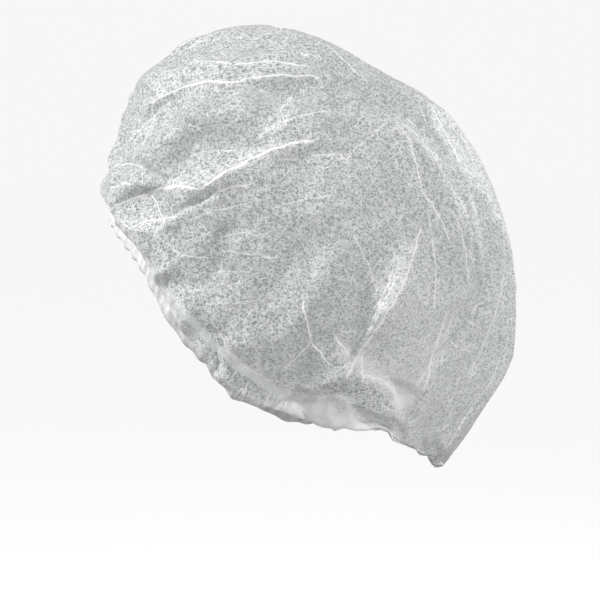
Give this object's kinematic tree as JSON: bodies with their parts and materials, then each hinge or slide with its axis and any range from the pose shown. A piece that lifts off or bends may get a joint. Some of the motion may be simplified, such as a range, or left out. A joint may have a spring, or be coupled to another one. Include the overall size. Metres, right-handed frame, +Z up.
{
  "type": "disposable hair cover cap",
  "caption": "Disposable bouffant hair cover of thin white spunbond cloth, gathered on an elastic in a folded hem, in its worn form with slack over the ears and nape.",
  "frame": {"origin": "highest place of the crown's inner face, in the middle, where the top of the head carries the cap", "axes": "+Z up as worn, -X towards the brow, +X towards the nape, +Y towards the wearer's right side"},
  "size_m": [0.2354, 0.1916, 0.2536],
  "materials": {
    "spunbond_cloth": "matte, translucent white spunbond polypropylene",
    "hem_cloth": "matte, doubled white spunbond polypropylene, puckered",
    "elastic_rubber": "matte, white flat elastic"
  },
  "bodies": {
    "root": {"crown": "spunbond_cloth", "hem": "hem_cloth", "elastic": "elastic_rubber"}
  },
  "joints": []
}
